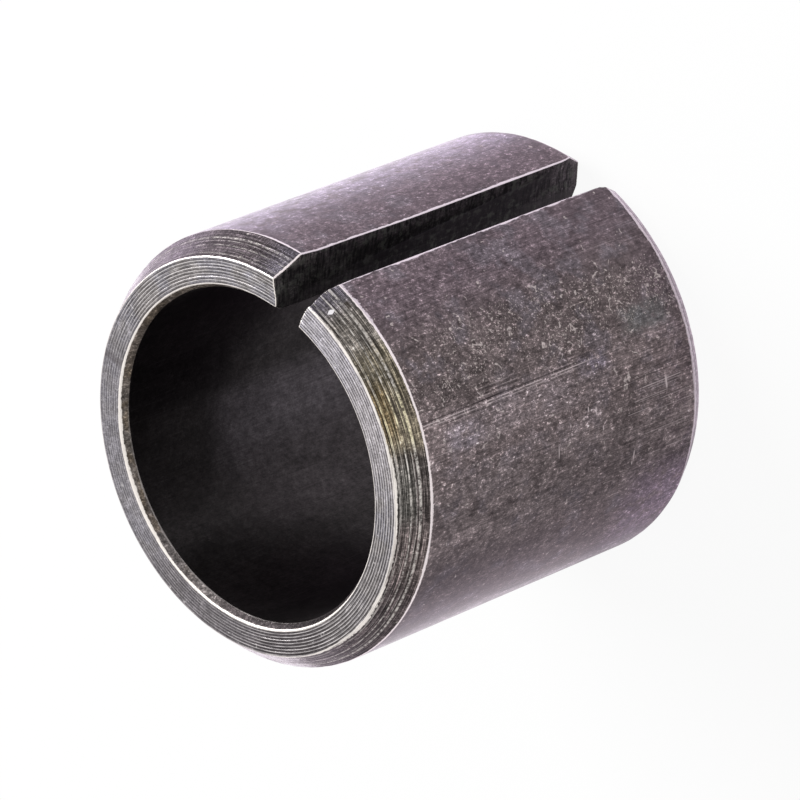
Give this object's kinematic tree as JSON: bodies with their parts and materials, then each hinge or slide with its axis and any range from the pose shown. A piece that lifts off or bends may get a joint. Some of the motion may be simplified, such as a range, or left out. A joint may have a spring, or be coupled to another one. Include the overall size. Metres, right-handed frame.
{
  "type": "taper bush",
  "caption": "Short split steel bush with a plain bore, a straight outside, one slot through its wall from end to end and a long bevel on its leading end.",
  "frame": {"origin": "on the bore's axis, in the face of the plain end that the bush stands on", "axes": "+Z along the bore towards the bevelled leading end; the slot faces -Y"},
  "size_m": [0.026, 0.0259, 0.025],
  "materials": {
    "blackened_steel": "black oxide over turned steel, rubbed bright along the edges and on the turned end"
  },
  "bodies": {
    "root": {"split_bush": "blackened_steel"}
  },
  "joints": []
}
